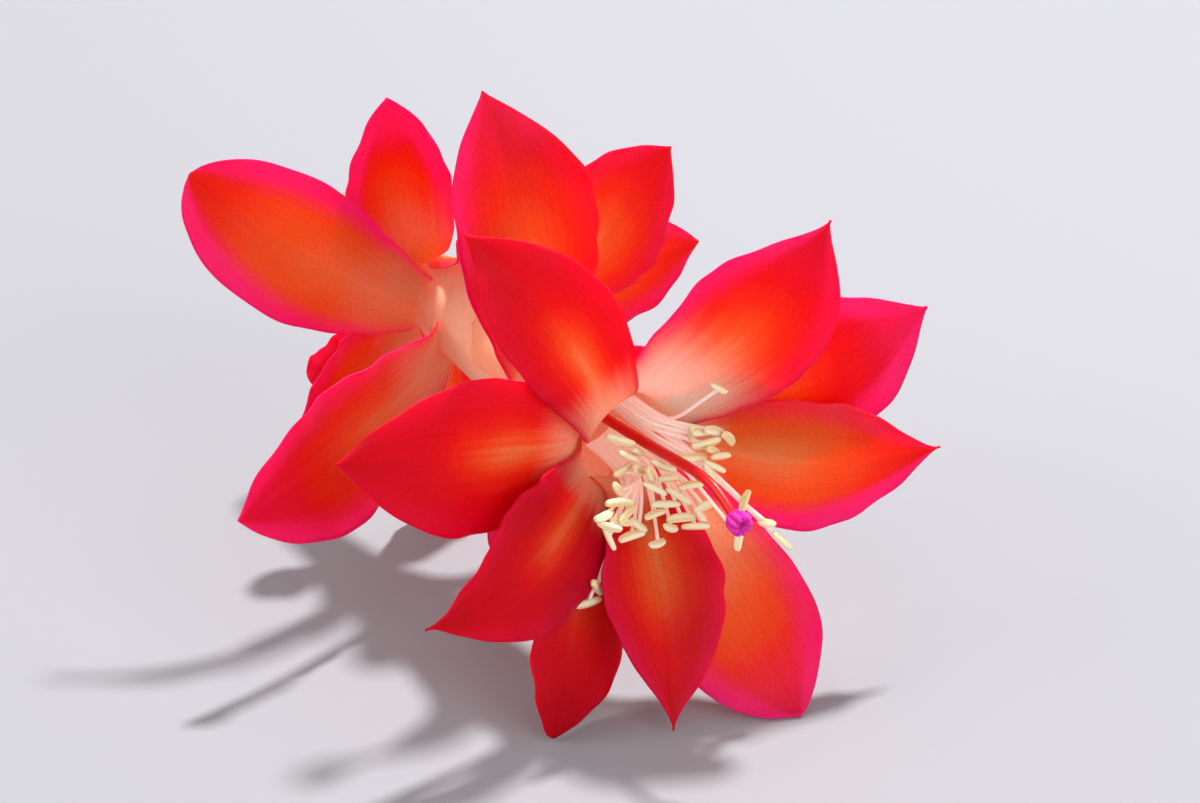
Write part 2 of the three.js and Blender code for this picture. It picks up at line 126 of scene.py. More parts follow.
class Shader:
    """One material's node tree, with short ways to add its nodes."""

    def __init__(self, name: str) -> None:
        """Starts an empty material with an output."""
        self.material = bpy.data.materials.new(name)
        self.material.use_nodes = True
        self.tree = self.material.node_tree
        self.tree.nodes.clear()
        self.output = self.tree.nodes.new("ShaderNodeOutputMaterial")

    def node(self, kind: str, settings: dict[str, Any], inputs: dict[Any, Any]) -> bpy.types.Node:
        """Adds any node.

        Args:
            kind: Blender's name of the node type.
            settings: Its settings, and for a ramp its stops as (position, colour).
            inputs: The values or links of its sockets, by name or number.

        Returns:
            The new node.
        """
        made = self.tree.nodes.new(kind)
        for name, setting in settings.items():
            if name == "stops":
                self.set_stops(made.color_ramp, setting)
            else:
                setattr(made, name, setting)
        for key, item in inputs.items():
            if isinstance(item, Value):
                self.tree.links.new(item.socket, made.inputs[key])
            else:
                made.inputs[key].default_value = item
        return made

    @staticmethod
    def set_stops(ramp: bpy.types.ColorRamp, stops: Stops) -> None:
        """Gives a colour ramp its stops."""
        while len(ramp.elements) < len(stops):
            ramp.elements.new(1.0)
        for element, (position, colour) in zip(ramp.elements, stops):
            element.position = position
            element.color = colour

    def out(self, node: bpy.types.Node, key: Union[int, str] = 0) -> Value:
        """Wraps an output of a node."""
        return Value(self, node.outputs[key])

    def maths(self, operation: str, first: Number, second: Number) -> Value:
        """Adds a Math node on two numbers."""
        made = self.node("ShaderNodeMath", {"operation": operation}, {0: first, 1: second})
        return self.out(made)

    def attribute(self, name: str, key: str = "Fac") -> Value:
        """Reads one of the mesh's own attributes."""
        return self.out(self.node("ShaderNodeAttribute", {"attribute_name": name}, {}), key)

    def parts(self, vector: Value) -> list[Value]:
        """Splits a vector into its three numbers."""
        made = self.node("ShaderNodeSeparateXYZ", {}, {0: vector})
        return [self.out(made, k) for k in range(3)]

    def vector(self, x: Number, y: Number, z: Number) -> Value:
        """Joins three numbers into a vector."""
        return self.out(self.node("ShaderNodeCombineXYZ", {}, {0: x, 1: y, 2: z}))

    def place(self) -> Value:
        """The point on the piece, in the part's frame."""
        return self.out(self.node("ShaderNodeTexCoord", {}, {}), "Object")

    def noise(self, vector: Value, scale: float, detail: float = 2.0, rough: float = 0.5) -> Value:
        """Soft random variation from 0 to 1."""
        inputs = {"Vector": vector, "Scale": scale, "Detail": detail, "Roughness": rough}
        return self.out(self.node("ShaderNodeTexNoise", {}, inputs))

    def step(self, value: Number, start: Number, end: Number) -> Value:
        """A smooth step from 0 at start to 1 at end, which may vary over the surface."""
        settings = {"interpolation_type": "SMOOTHSTEP"}
        return self.out(self.node("ShaderNodeMapRange", settings, {0: value, 1: start, 2: end}))

    def ramp(self, value: Value, stops: Stops) -> Value:
        """A colour that runs through the stops as the value goes from 0 to 1."""
        return self.out(self.node("ShaderNodeValToRGB", {"stops": stops}, {0: value}))

    def blend(self, factor: Number, first: Colour, second: Colour, how: str = "MIX") -> Value:
        """Mixes two colours."""
        settings = {"data_type": "RGBA", "blend_type": how, "clamp_factor": True}
        return self.out(self.node("ShaderNodeMix", settings, {0: factor, 6: first, 7: second}), 2)

    def bump(self, height: Value, distance: float, strength: float) -> Value:
        """A surface normal that follows a height."""
        inputs = {"Height": height, "Distance": distance, "Strength": strength}
        return self.out(self.node("ShaderNodeBump", {}, inputs))

    def finish(self, sockets: dict[str, Any]) -> bpy.types.Material:
        """Closes the material with one Principled surface."""
        surface = self.node("ShaderNodeBsdfPrincipled", {}, sockets)
        self.tree.links.new(surface.outputs[0], self.output.inputs["Surface"])
        return self.material


# Finishes


@dataclass(frozen=True)
class PetalFinish:
    """Thin, velvety, translucent petal, from a pale base to a magenta margin, with a painted glow
    at its base and on its magenta parts.
    """

    pale: tuple[int, int, int] = (252, 178, 142)
    salmon: tuple[int, int, int] = (255, 132, 76)
    orange: tuple[int, int, int] = (255, 92, 30)
    flame: tuple[int, int, int] = (244, 44, 14)
    red: tuple[int, int, int] = (228, 12, 16)
    crimson: tuple[int, int, int] = (214, 2, 28)
    magenta: tuple[int, int, int] = (248, 28, 106)
    milk: tuple[int, int, int] = (255, 232, 216)
    # deep red for the darker tip, and also the colour of the painted shade on petals that lie in
    # shadow
    deep_red_and_painted_shade: tuple[int, int, int] = (150, 0, 14)
    hem: tuple[int, int, int] = (214, 8, 74)
    ochre: tuple[int, int, int] = (214, 150, 40)
    roughness: float = 0.5
    # painted glow: strength of the salmon emission on the claw, for light seeping through the
    # petal
    painted_base_glow: float = 0.12
    # painted glow: strength of the magenta emission on the margin and tip, for light passing
    # through the thin rims
    painted_rim_glow: float = 0.12

    def material(self) -> bpy.types.Material:
        """Builds the material, which reads where on the petal a point lies."""
        s = Shader("petal")
        across = s.attribute("across")
        along = s.attribute("along")
        pale, heat, pink = s.parts(s.attribute("tones", "Vector"))
        # the first of these is the petal's share of painted shade
        deep_red_and_painted_shade, ochre, edge = s.parts(s.attribute("shades", "Vector"))
        rose, milk, lean = s.parts(s.attribute("tints", "Vector"))
        seed = s.attribute("seed")
        place = s.place()
        streak = s.noise(s.vector(across * 15.0, along * 1.6, seed), 1.0, 3.0, 0.6)
        vein = s.noise(s.vector(across * 46.0, along * 2.4, seed + 7.0), 1.0, 2.0, 0.55)
        cloud = s.noise(place, 260.0, 2.0)
        grain = s.noise(place, 4700.0, 1.0)
        margin = abs(across)
        reach = s.step(along, 0.25, 1.25) * 1.9
        ragged = (streak - 0.5) * 0.3 + (cloud - 0.5) * 0.18
        distance = (margin ** 2.0 + reach ** 2.0) ** 0.5 + ragged
        blush = s.ramp(
            (distance / heat) * 0.8,
            [
                (0.0, linear(self.salmon)),
                (0.16, linear(self.orange)),
                (0.36, linear(self.flame)),
                (0.56, linear(self.red)),
                (0.9, linear(self.crimson)),
            ],
        )
        rosy = s.step(margin + reach * 0.22 + ragged * 0.6, 0.6, 1.1) * pink
        rosy = rosy * (1.0 + lean * across) + s.step(reach + ragged, 0.75, 1.4) * rose
        colour = s.blend(rosy, blush, linear(self.magenta))
        blade = s.step(along, -0.1, 0.1)
        edge_of_base = pale - abs(pale) * 0.85
        base = 1.0 - s.step(along + (streak - 0.5) * 0.12, edge_of_base, pale)
        inner = 1.0 - blade * margin ** 3.0
        colour = s.blend(base * inner, colour, linear(self.pale))
        whitish = 1.0 - s.step(along + (streak - 0.5) * 0.1, pale * 0.1, pale * 0.8)
        colour = s.blend(whitish * inner * milk, colour, linear(self.milk))
        hem = s.step(margin, 0.88, 0.97) * s.step(along, edge, edge + 0.06)
        colour = s.blend(hem * (1.0 - s.step(along, 0.02, 0.14)) * 0.8, colour, linear(self.hem))
        spot = s.step(along, -0.05, 0.05) * (1.0 - s.step(along, 0.1, 0.32)) * ochre
        colour = s.blend(spot, colour, linear(self.ochre))
        dusk = s.step(along + (streak - 0.5) * 0.1, 0.7, 1.0) * 0.3
        # painted shade: the whole petal darkens by its own share, and its tip darkens a little
        # more towards deep red
        colour = s.blend(deep_red_and_painted_shade + dusk, colour, linear(self.deep_red_and_painted_shade))
        shade = 0.7 + vein * 0.22 + grain * 0.36
        colour = s.blend(1.0, colour, s.vector(shade, shade, shade), "MULTIPLY")
        blunt = 1.0 - s.step(along, 0.75, 0.96)
        relief = (vein * 0.6 + grain * 0.5) * blunt
        # painted glow: salmon emission on the claw, then magenta emission on the magenta margin
        # and tip
        painted_glow = (1.0 - s.step(along, -0.06, 0.1)) * self.painted_base_glow
        light = s.blend(painted_glow, BLACK, linear(self.salmon))
        # painted glow on the magenta margin and tip
        light = s.blend(s.step(rosy, 0.0, 1.0) * self.painted_rim_glow, light, linear(self.magenta))
        return s.finish(
            {
                "Base Color": colour,
                "Emission Color": light,
                "Emission Strength": 1.0,
                "Roughness": self.roughness - 0.12 * grain + 0.05 * cloud,
                "Normal": s.bump(relief, 0.00012, 0.5),
                "Subsurface Weight": 1.0,
                "Subsurface Radius": (1.0, 0.08, 0.13),
                "Subsurface Scale": 0.0018,
                "Specular IOR Level": 0.08,
            }
        )


@dataclass(frozen=True)
class TubeFinish:
    """Pale, fleshy tube with faint lengthwise veins, a pinker throat and a painted warm glow all
    over.
    """

    pale: tuple[int, int, int] = (248, 195, 165)
    flushed: tuple[int, int, int] = (252, 150, 120)
    # painted glow: a weak warm emission over the whole tube, for light seeping through the walls
    painted_glow: tuple[int, int, int] = (98, 74, 58)

    def material(self) -> bpy.types.Material:
        """Builds the material."""
        s = Shader("tube")
        around = s.attribute("around")
        station = s.attribute("station")
        vein = s.noise(s.vector(around * 60.0, station * 2.0, 0.0), 1.0, 2.0)
        cloud = s.noise(s.place(), 300.0, 2.0)
        grain = s.noise(s.place(), 5000.0, 1.0)
        flush = s.step(vein * 0.6 + cloud * 0.4, 0.35, 0.75) * 0.6 + s.attribute("inner") * 0.6
        colour = s.blend(flush, linear(self.pale), linear(self.flushed))
        return s.finish(
            {
                "Base Color": colour,
                # painted glow
                "Emission Color": linear(self.painted_glow),
                "Emission Strength": 1.0,
                "Roughness": 0.45 - 0.1 * grain,
                "Normal": s.bump(vein * 0.5 + grain * 0.4, 0.0001, 0.5),
                "Subsurface Weight": 1.0,
                "Subsurface Radius": (1.0, 0.6, 0.5),
                "Subsurface Scale": 0.0004,
                "Specular IOR Level": 0.3,
            }
        )


@dataclass(frozen=True)
class OvaryFinish:
    """Waxy olive green skin, flushed with red towards the tube."""

    green: tuple[int, int, int] = (128, 150, 62)
    light: tuple[int, int, int] = (176, 184, 96)
    flushed: tuple[int, int, int] = (186, 84, 66)
    scar: tuple[int, int, int] = (120, 92, 52)

    def material(self) -> bpy.types.Material:
        """Builds the material."""
        s = Shader("ovary")
        station = s.attribute("station")
        cloud = s.noise(s.place(), 700.0, 3.0)
        speck = s.noise(s.place(), 4200.0, 1.0)
        colour = s.blend(cloud, linear(self.green), linear(self.light))
        colour = s.blend(s.step(station + cloud, -48.2, -45.6), colour, linear(self.flushed))
        colour = s.blend(s.step(speck, 0.62, 0.74) * 0.5, colour, linear(self.light))
        colour = s.blend(1.0 - s.step(station, -53.0, -52.5), colour, linear(self.scar))
        return s.finish(
            {
                "Base Color": colour,
                "Roughness": 0.34 + 0.12 * cloud,
                "Normal": s.bump(speck, 0.00008, 0.4),
                "Subsurface Weight": 0.3,
                "Subsurface Scale": 0.0008,
                "Specular IOR Level": 0.5,
            }
        )


@dataclass(frozen=True)
class StyleFinish:
    """Glossy deep red column, softly mottled."""

    dark: tuple[int, int, int] = (206, 6, 12)
    bright: tuple[int, int, int] = (246, 14, 20)

    def material(self) -> bpy.types.Material:
        """Builds the material."""
        s = Shader("style")
        cloud = s.noise(s.place(), 900.0, 3.0)
        grain = s.noise(s.place(), 6000.0, 1.0)
        colour = s.blend(cloud, linear(self.dark), linear(self.bright))
        return s.finish(
            {
                "Base Color": colour,
                "Roughness": 0.32 + 0.12 * grain,
                "Normal": s.bump(grain, 0.00006, 0.4),
                "Subsurface Weight": 0.4,
                "Subsurface Radius": (1.0, 0.2, 0.2),
                "Subsurface Scale": 0.0005,
            }
        )


@dataclass(frozen=True)
class StigmaFinish:
    """Magenta lobes covered in fine papillae, with painted shade in the furrows and towards the
    middle.
    """

    bright: tuple[int, int, int] = (232, 14, 176)
    tips: tuple[int, int, int] = (255, 120, 180)
    dark: tuple[int, int, int] = (190, 6, 136)

    def material(self) -> bpy.types.Material:
        """Builds the material."""
        s = Shader("stigma")
        height = s.attribute("height")
        papillae = s.noise(s.place(), 9000.0, 1.0)
        # painted shade: darker magenta in the furrows and near the middle, where the height is low
        colour = s.blend(s.step(height, 0.2, 0.8), linear(self.dark), linear(self.bright))
        colour = s.blend(s.step(papillae, 0.55, 0.75) * 0.15, colour, linear(self.tips))
        return s.finish(
            {
                "Base Color": colour,
                "Roughness": 0.55 - 0.15 * papillae,
                "Normal": s.bump(papillae, 0.00012, 0.7),
                "Subsurface Weight": 0.6,
                "Subsurface Radius": (1.0, 0.3, 0.6),
                "Subsurface Scale": 0.0004,
            }
        )


@dataclass(frozen=True)
class FilamentFinish:
    """Thin, glassy, nearly white threads, pinker in soft patches, with a painted pink glow."""

    white: tuple[int, int, int] = (255, 236, 226)
    pink: tuple[int, int, int] = (255, 212, 200)
    # painted glow: strength of the pink emission, for light the threads take from the petals
    painted_glow: float = 0.17

    def material(self) -> bpy.types.Material:
        """Builds the material."""
        s = Shader("filament")
        cloud = s.noise(s.place(), 500.0, 2.0)
        fine = s.noise(s.place(), 5000.0, 1.0)
        colour = s.blend(s.step(cloud, 0.4, 0.7) * 0.4, linear(self.white), linear(self.pink))
        return s.finish(
            {
                "Base Color": colour,
                # painted glow
                "Emission Color": linear(self.pink),
                "Emission Strength": self.painted_glow,
                "Roughness": 0.3 + 0.15 * fine,
                "Subsurface Weight": 1.0,
                "Subsurface Radius": (1.0, 0.8, 0.7),
                "Subsurface Scale": 0.00008,
            }
        )


@dataclass(frozen=True)
class AntherFinish:
    """Chalky cream pollen sacs with a warmer groove, loose pollen grains and, on some anthers at
    random, a painted warm shade.
    """

    cream: tuple[int, int, int] = (252, 240, 204)
    warm: tuple[int, int, int] = (238, 200, 124)
    pollen: tuple[int, int, int] = (255, 250, 226)

    def material(self) -> bpy.types.Material:
        """Builds the material."""
        s = Shader("anther")
        groove = s.attribute("groove")
        # painted shade: a warm tint, drawn at random for each anther, for anthers that lie in
        # shade
        ripe = s.attribute("ripe")
        cloud = s.noise(s.place(), 1200.0, 2.0)
        grains = s.noise(s.place(), 12000.0, 1.0)
        colour = s.blend(groove * 0.7 + ripe * 0.4, linear(self.cream), linear(self.warm))
        colour = s.blend(s.step(grains, 0.5, 0.7) * 0.5, colour, linear(self.pollen))
        return s.finish(
            {
                "Base Color": colour,
                "Roughness": 0.75 - 0.15 * cloud,
                "Normal": s.bump(grains, 0.00006, 0.6),
                "Subsurface Weight": 0.7,
                "Subsurface Radius": (1.0, 0.8, 0.5),
                "Subsurface Scale": 0.0002,
            }
        )


# Working with meshes, in millimetres until a piece is settled


def only(piece: bpy.types.Object) -> None:
    """Deselects everything, then selects one object and makes it active."""
    bpy.ops.object.select_all(action="DESELECT")
    piece.select_set(True)
    bpy.context.view_layer.objects.active = piece


def settle_place() -> None:
    """Puts the selected object's place, turn and size into its mesh."""
    bpy.ops.object.transform_apply(location=True, rotation=True, scale=True)


def points_of(piece: bpy.types.Object) -> np.ndarray:
    """The places of an object's vertices, one row each."""
    places = np.empty(len(piece.data.vertices) * 3)
    piece.data.vertices.foreach_get("co", places)
    return places.reshape(-1, 3)


def move_points(piece: bpy.types.Object, places: np.ndarray) -> None:
    """Puts an object's vertices in new places."""
    piece.data.vertices.foreach_set("co", places.astype(float).ravel())
    piece.data.update()


def mark(piece: bpy.types.Object, name: str, values: np.ndarray) -> None:
    """Gives each vertex a number, or three, that a material can read."""
    flat = np.asarray(values, float)
    kind, slot_name = ("FLOAT", "value") if flat.ndim == 1 else ("FLOAT_VECTOR", "vector")
    layer = piece.data.attributes.new(name, kind, "POINT")
    layer.data.foreach_set(slot_name, flat.astype(np.float32).ravel())


def apply_modifiers(piece: bpy.types.Object) -> None:
    """Applies every modifier of an object, in order."""
    only(piece)
    for modifier in list(piece.modifiers):
        bpy.ops.object.modifier_apply(modifier=modifier.name)


def outward(piece: bpy.types.Object) -> None:
    """Merges doubled points of a closed mesh and turns its faces outwards."""
    only(piece)
    bpy.ops.object.mode_set(mode="EDIT")
    bpy.ops.mesh.select_all(action="SELECT")
    bpy.ops.mesh.remove_doubles(threshold=1e-4)
    bpy.ops.mesh.normals_make_consistent(inside=False)
    bpy.ops.object.mode_set(mode="OBJECT")


def join(parts: Sequence[bpy.types.Object]) -> bpy.types.Object:
    """Joins several objects into the first."""
    only(parts[0])
    for part in parts:
        part.select_set(True)
    bpy.ops.object.join()
    return parts[0]


def settle(
    piece: bpy.types.Object,
    name: str,
    material: bpy.types.Material,
    nodes: Sequence[str],
) -> bpy.types.Object:
    """Finishes a piece: metres, smooth shading, its material and its place in the part.

    Args:
        piece: The object, modelled in millimetres.
        name: The piece's own name.
        material: Its material.
        nodes: The solids that it stands for.

    Returns:
        The same object.
    """
    only(piece)
    settle_place()
    piece.data.transform(Matrix.Scale(MM, 4))
    piece.name = name
    piece.data.name = name
    bpy.ops.object.shade_smooth()
    piece.data.materials.clear()
    piece.data.materials.append(material)
    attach(piece, BODY)
    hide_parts(*nodes)
    log.info("%s: %d faces", name, len(piece.data.polygons))
    return piece


# The mouth's frame


class Mouth:
    """The open end of the tube: its place, and its axis, top and right."""

    HEADING = math.radians(34)
    DIP = math.radians(3)
    PLACE = np.array([6.46, -13.11, 24.0])
    AXIS = np.array(
        [
            math.sin(HEADING) * math.cos(DIP),
            -math.cos(HEADING) * math.cos(DIP),
            -math.sin(DIP),
        ]
    )
    TOP = np.array([0.0, 0.0, 1.0]) + AXIS * math.sin(DIP)
    TOP = TOP / np.linalg.norm(TOP)
    RIGHT = np.cross(TOP, AXIS)
    STATIONS = (-50.0, -42.0, -37.0, -30.0, -22.0, -10.0, 0.0)
    RADII = (2.6, 2.5, 3.0, 4.0, 4.5, 4.7, 4.9)

    @classmethod
    def at(cls, right: float, top: float, forward: float) -> np.ndarray:
        """A point right of, above and in front of the mouth's middle."""
        return cls.PLACE + cls.RIGHT * right + cls.TOP * top + cls.AXIS * forward

    @classmethod
    def radius(cls, station: float) -> float:
        """The tube's outer radius at a station along its axis."""
        return float(np.interp(station, cls.STATIONS, cls.RADII))

    @classmethod
    def matrix(cls) -> Matrix:
        """Turns an upright body, with its top at the origin, into the tube's place."""
        rows = np.stack([cls.RIGHT, cls.TOP, cls.AXIS, cls.PLACE], 1)
        turned = Matrix([list(row) for row in rows] + [[0, 0, 0, 1]])
        return turned


# Petals


class Tier(Enum):
    """The three whorls of petals along the tube."""

    FRONT = "front"
    MIDDLE = "middle"
    BACK = "back"


@dataclass
class Petal:
    """One petal: a claw along the tube and a blade that opens away from it.

    Stations, lengths and widths are in millimetres and angles in degrees. The azimuth
    runs clockwise from the top as the open mouth is seen. The claw starts further back,
    inside the tube's wall, by its tuck, and sits there by its nest from the tube's
    outside. The other fields after the wave give its colours: how far the pale base
    reaches, how wide the orange heart is, how magenta the margin, how much painted
    shade darkens it towards deep red, whether its base has an ochre spot, how far down
    the claw the margin keeps its colour, how magenta the tip, how milky the base, and
    how much more magenta the right margin is than the left.
    """

    name: str
    at: float
    azimuth: float
    claw: float
    blade: float
    width: float
    root: float
    open: float
    recurve: float
    cup: float
    side: float = 0
    sweep: float = 0
    turn: float = 0
    twist: float = 0
    middle: float = 0.45
    sharp: float = 1.1
    lift: float = 0.7
    fold: float = 6.0
    wave: float = 0.25
    pale: float = 0.22
    heat: float = 1.0
    pink: float = 0.7
    # share of painted shade, for a petal that lies in the shadow of others
    deep_red_and_painted_shade: float = 0.0
    ochre: float = 0.0
    tuck: float = 0.0
    nest: float = -0.02
    edge: float = -0.06
    blush: float = 0.0
    milk: float = 0.0
    lean: float = 0.0

    COLUMNS = 28
    ROWS = 88
    THICKNESS = 0.42
    THIN_SHARE = 0.35
    FINE = 6
    TABLE = 0.24
    LEAST_HALF_WIDTH = 0.07
    LYING = 8
    FURROW_DEPTH = 0.16
    VEIN_HEIGHT = 0.02

    def seed(self) -> float:
        """A number of its own, from its name, for its random marks."""
        return sum(ord(letter) * (k + 1) for k, letter in enumerate(self.name)) % 97

    def half_width(self, s: float, u: float) -> float:
        """Half the petal's width at a length s, which is a share u of the blade."""
        if s < self.claw:
            taper = 1.0 if self.tuck else 0.3 + 0.7 * smooth(s / min(3.0, self.claw))
            return self.root / 2 * taper
        if u < self.middle:
            rise = math.sin(math.pi / 2 * u / self.middle) ** 1.3
            return (self.root + (self.width - self.root) * rise) / 2
        v = min((u - self.middle) / (1 - self.middle), 1.0)
        return self.width * (1 - v ** 2.4) ** self.sharp / 2

    def surface(self) -> tuple[np.ndarray, np.ndarray, np.ndarray]:
        """Works out the petal's middle surface.

        Returns:
            Points by row and column, each row's share of the blade, and each column's
            place from -1 at the left margin to 1 at the right.
        """
        azimuth = math.radians(self.azimuth)
        out = math.cos(azimuth) * Mouth.TOP + math.sin(azimuth) * Mouth.RIGHT
        around = -math.sin(azimuth) * Mouth.TOP + math.cos(azimuth) * Mouth.RIGHT
        total = self.claw + self.blade + self.tuck
        root_radius = Mouth.radius(self.at) + self.lift
        middle = Mouth.at(0, 0, self.at - self.tuck) + out * root_radius
        q = np.linspace(-1, 1, self.COLUMNS + 1)
        steps = self.ROWS * self.FINE
        rows, shares = [], []
        before = None
        for i in range(steps + 1):
            s = total * i / steps - self.tuck
            u = min(max((s - self.claw) / self.blade, 0.0), 1.0)
            leave = smooth((s - self.claw) / self.fold + 1 / 3)
            lying = 0 if self.tuck else self.LYING
            rise = math.radians(lying + (self.open - lying) * leave + self.recurve * u ** 1.5)
            side = math.radians(self.side * leave + self.sweep * u)
            turn = math.radians(self.turn * leave + self.twist * u)
            forward = math.cos(rise) * Mouth.AXIS + math.sin(rise) * out
            along = math.cos(side) * forward + math.sin(side) * around
            flat = math.cos(side) * around - math.sin(side) * forward
            inward = math.sin(rise) * Mouth.AXIS - math.cos(rise) * out
            across = math.cos(turn) * flat + math.sin(turn) * inward
            face = -math.sin(turn) * flat + math.cos(turn) * inward
            if before is not None:
                middle = middle + (before + along) * (total / steps / 2)
            before = along
            if i % self.FINE:
                continue
            half = max(self.half_width(s, u), self.LEAST_HALF_WIDTH)
            hollow = math.radians(self.cup) * math.sqrt(half / (self.width / 2))
            bend = (1 - leave) * (half / root_radius) + leave * hollow
            x = half / bend * np.sin(bend * q) * self.ragged(q, u)
            z = half / bend * (1 - np.cos(bend * q))
            z = z + self.relief(q, u, half)
            sunk = (self.lift - self.nest) * (1 - smooth(s / (self.claw + 2.0)))
            centre = middle - out * sunk
            rows.append(centre + x[:, None] * across + z[:, None] * face)
            shares.append((s - self.claw) / self.blade)
        return np.array(rows), np.array(shares), q

    def ragged(self, q: np.ndarray, u: float) -> np.ndarray:
        """How the two margins wander in and out, as a share of the half width."""
        seed = self.seed()
        side = np.where(q < 0, 1.7, 0.0) + seed
        slow = 0.016 * np.sin(u * 13 + side) + 0.008 * np.sin(u * 31 + 2 * side)
        tooth = 0.03 * np.maximum(0, np.sin(u * 7.3 + 1.3 * side)) ** 24
        return 1 + smooth(u / 0.2) * q ** 2 * (slow - tooth)

    def relief(self, q: np.ndarray, u: float, half: float) -> np.ndarray:
        """Small waves of the margin, the furrow of the midrib and low veins."""
        seed = self.seed()
        blade = smooth(u / 0.25)
        frill = np.sin(u * 17 + seed + 2.2 * np.sign(q)) + 0.5 * np.sin(u * 41 + 2 * seed)
        fade = min(half / 2.5, 1.0)
        waves = self.wave * blade * fade * np.abs(q) ** 4 * frill
        depth = self.FURROW_DEPTH * blade * (1 - smooth((u - 0.8) / 0.2))
        furrow = depth * np.exp(-((q * half / 0.5) ** 2))
        veins = np.cos(q * 26 + 0.6 * math.sin(u * 9 + seed))
        return waves - furrow + self.VEIN_HEIGHT * blade * fade ** 2 * veins

    def build(self, material: bpy.types.Material) -> bpy.types.Object:
        """Makes the petal from a grid that is bent to shape and given its thickness."""
        rows, shares, q = self.surface()
        bpy.ops.object.select_all(action="DESELECT")
        bpy.ops.mesh.primitive_grid_add(
            x_subdivisions=self.COLUMNS, y_subdivisions=self.ROWS, size=2
        )
        piece = bpy.context.object
        flat = points_of(piece)
        column = np.rint((flat[:, 0] + 1) / 2 * self.COLUMNS).astype(int)
        row = np.rint((flat[:, 1] + 1) / 2 * self.ROWS).astype(int)
        places = rows[row, column]
        low = places[:, 2] - self.TABLE
        pressed = np.where(low > 1.0, low, np.log1p(np.exp(np.clip(low, -30, 1) * 4)) / 4)
        near = np.clip(low, 0, 1)
        places[:, 2] = self.TABLE + np.where(low > 1.0, low, pressed * (1 - near) + low * near)
        move_points(piece, places)
        body = piece.vertex_groups.new(name="body")
        fullness = (1 - np.abs(q[column]) ** 3) * (1 - 0.5 * np.clip(shares[row], 0, 1) ** 3)
        fullness *= 1 - 0.9 * smooth(self.tuck) * np.clip(-shares[row] / 0.12, 0, 1)
        for index, weight in enumerate(fullness):
            body.add([index], float(weight), "REPLACE")
        mark(piece, "across", q[column])
        mark(piece, "along", shares[row])
        mark(piece, "tones", np.tile([self.pale, self.heat, self.pink], (len(flat), 1)))
        mark(piece, "shades", np.tile([self.deep_red_and_painted_shade, self.ochre, self.edge], (len(flat), 1)))
        mark(piece, "seed", np.full(len(flat), self.seed()))
        mark(piece, "tints", np.tile([self.blush, self.milk, self.lean], (len(flat), 1)))
        wall = piece.modifiers.new("wall", "SOLIDIFY")
        wall.thickness = self.THICKNESS
        wall.offset = 0
        wall.vertex_group = "body"
        wall.thickness_vertex_group = self.THIN_SHARE
        apply_modifiers(piece)
        return settle(piece, "petal_" + self.name, material, [self.name])


